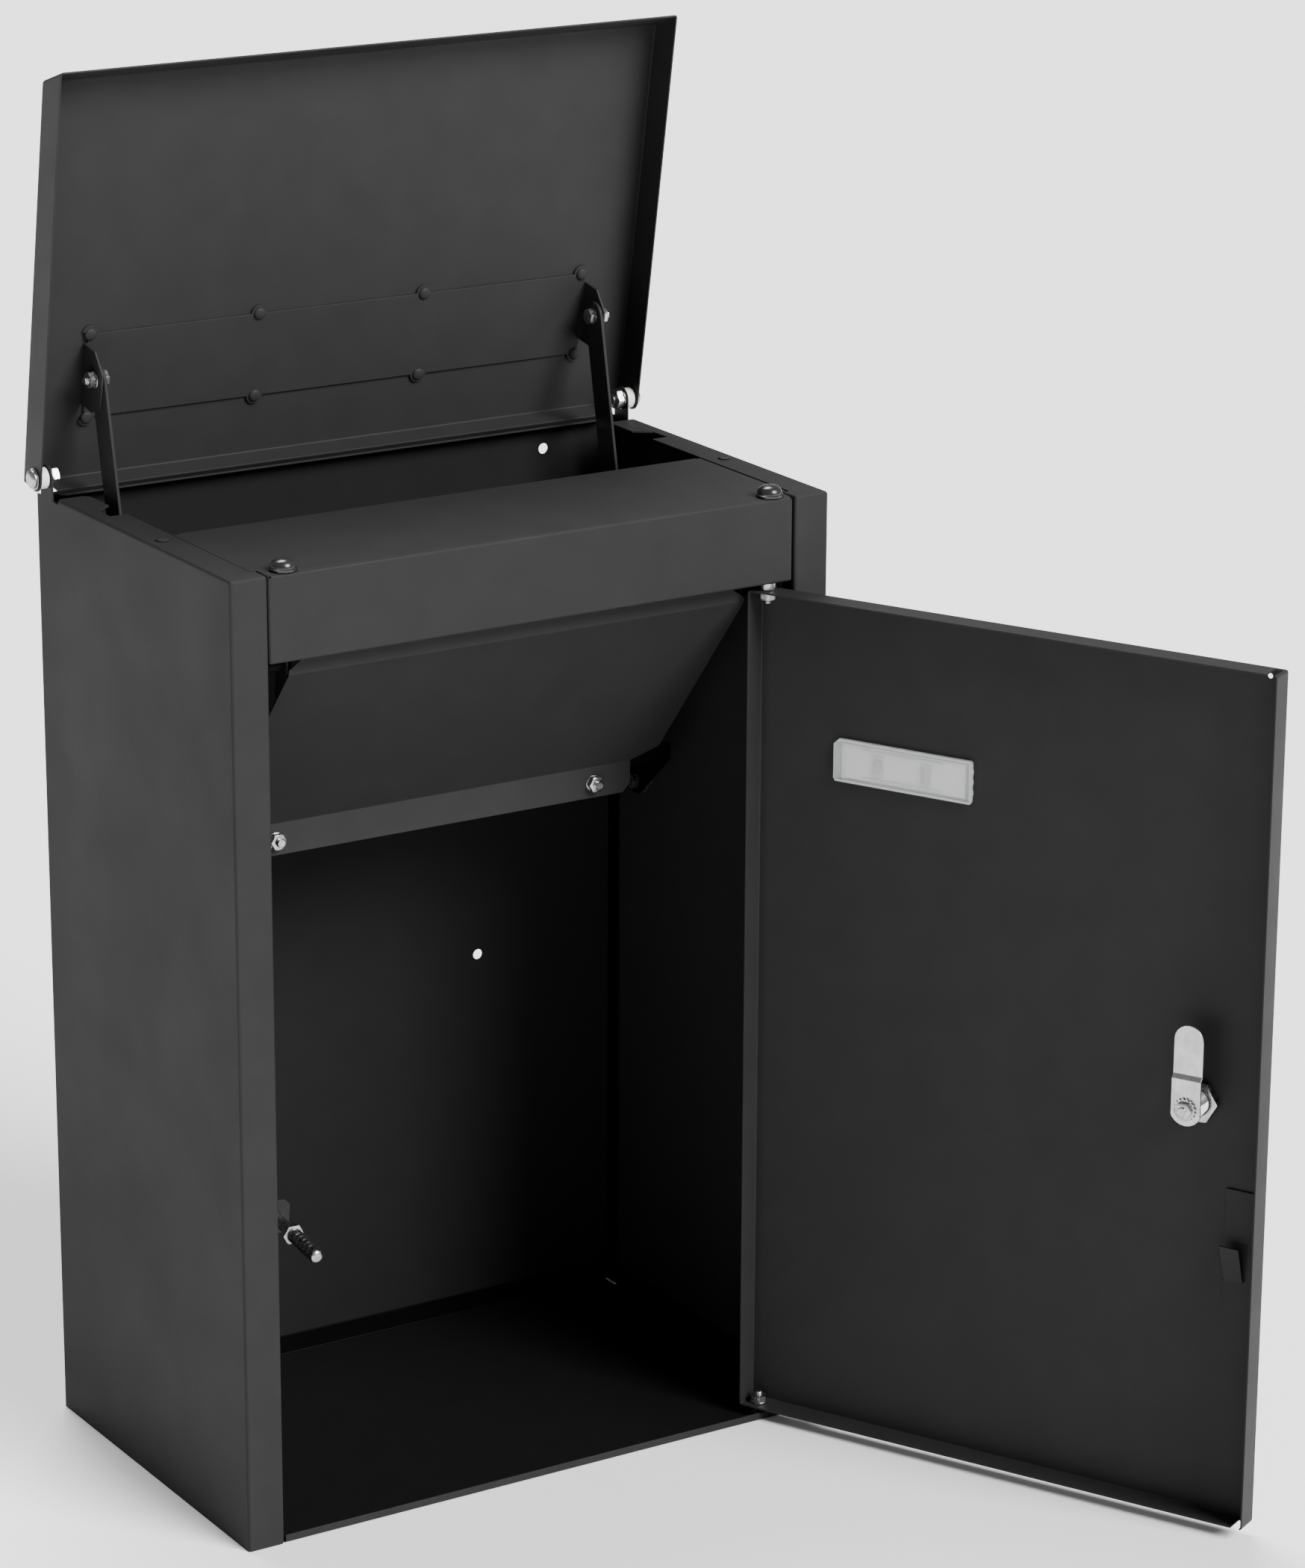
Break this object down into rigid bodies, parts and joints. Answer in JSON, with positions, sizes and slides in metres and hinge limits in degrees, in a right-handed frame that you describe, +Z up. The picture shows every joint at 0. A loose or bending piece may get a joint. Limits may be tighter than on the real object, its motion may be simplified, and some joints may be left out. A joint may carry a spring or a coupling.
{
  "type": "parcel drop box",
  "caption": "Black steel wall-mounted parcel drop box with a hinged top lid linked to a sloping baffle, a front access door with a cam lock, and an open storage space.",
  "frame": {"origin": "middle of the underside of the box, at floor level", "axes": "+X to the right seen from the front, +Y to the back (the wall side), +Z up; the front door faces -Y"},
  "size_m": [0.5844, 0.5986, 0.9337],
  "materials": {
    "black_powder_coat": "satin, fine texture",
    "zinc_plate": "bright zinc plated steel",
    "chrome_plate": "polished plate",
    "black_rubber": "matte",
    "nylon": "natural nylon",
    "clear_plastic": "clear, moulded",
    "white_card": "blank card"
  },
  "bodies": {
    "box": {"side_panel_left": "black_powder_coat", "side_panel_right": "black_powder_coat", "back_panel": "black_powder_coat", "base_pan": "black_powder_coat", "front_top_panel": "black_powder_coat", "bumper_left": "black_rubber", "bumper_right": "black_rubber", "rail_rivet_left": "black_powder_coat", "rail_rivet_right": "black_powder_coat", "lid_hinge_bolt_left": "zinc_plate", "lid_hinge_bolt_right": "zinc_plate", "lid_hinge_spacer_left": "nylon", "lid_hinge_spacer_right": "nylon", "baffle_hinge_pin_left": "black_powder_coat", "baffle_hinge_pin_right": "black_powder_coat", "strike_bracket": "black_powder_coat", "strike_stud": "zinc_plate"},
    "lid": {"lid_pan": "black_powder_coat", "lid_bracket": "black_powder_coat", "lid_rivet_front_1": "black_powder_coat", "lid_rivet_front_2": "black_powder_coat", "lid_rivet_front_3": "black_powder_coat", "lid_rivet_front_4": "black_powder_coat", "lid_rivet_rear_1": "black_powder_coat", "lid_rivet_rear_2": "black_powder_coat", "lid_rivet_rear_3": "black_powder_coat", "lid_rivet_rear_4": "black_powder_coat", "upper_pivot_bolt_left": "zinc_plate", "upper_pivot_bolt_right": "zinc_plate"},
    "arm_left": {"link_arm_left": "black_powder_coat", "lower_pivot_nut_left": "zinc_plate"},
    "arm_right": {"link_arm_right": "black_powder_coat", "lower_pivot_nut_right": "zinc_plate"},
    "baffle": {"baffle_plate": "black_powder_coat", "baffle_bracket": "black_powder_coat", "baffle_bolt_left": "zinc_plate", "baffle_bolt_right": "zinc_plate", "lower_pivot_bolt_left": "zinc_plate", "lower_pivot_bolt_right": "zinc_plate"},
    "door": {"door_pan": "black_powder_coat", "door_pin_top": "zinc_plate", "door_pin_bottom": "zinc_plate", "name_window": "clear_plastic", "name_card": "white_card", "keeper_plate": "black_powder_coat", "lock_case": "chrome_plate", "lock_nut": "zinc_plate"},
    "lock": {"lock_plug": "chrome_plate", "lock_cam": "zinc_plate", "lock_cam_screw": "zinc_plate"}
  },
  "joints": [
    {"name": "lid_hinge", "type": "hinge", "parent": "box", "child": "lid", "pos_m": [0, 0.121, 0.661], "axis": [1, 0, 0], "range_deg": [0, 84.4]},
    {"name": "arm_left_pivot", "type": "hinge", "parent": "lid", "child": "arm_left", "pos_m": [-0.1876, 0.10566, 0.72543], "axis": [1, 0, 0], "range_deg": [-96.9, 0]},
    {"name": "arm_right_pivot", "type": "hinge", "parent": "lid", "child": "arm_right", "pos_m": [0.1876, 0.10566, 0.72543], "axis": [1, 0, 0], "range_deg": [-96.9, 0]},
    {"name": "baffle_hinge", "type": "hinge", "parent": "box", "child": "baffle", "pos_m": [0, -0.104, 0.583], "axis": [1, 0, 0], "range_deg": [-32.8, 0]},
    {"name": "door_hinge", "type": "hinge", "parent": "box", "child": "door", "pos_m": [0.1792, -0.1262, 0.298], "axis": [0, 0, 1], "range_deg": [-116.7, 0]},
    {"name": "lock_turn", "type": "hinge", "parent": "door", "child": "lock", "pos_m": [0.32253, -0.41119, 0.293], "axis": [0.8934, 0.4493, 0], "range_deg": [0, 90]}
  ],
  "couplings": [
    {"joint": "arm_left_pivot", "follows": "lid_hinge", "ratio": -1.1471},
    {"joint": "arm_right_pivot", "follows": "lid_hinge", "ratio": -1.1471},
    {"joint": "baffle_hinge", "follows": "lid_hinge", "ratio": -0.38804}
  ]
}
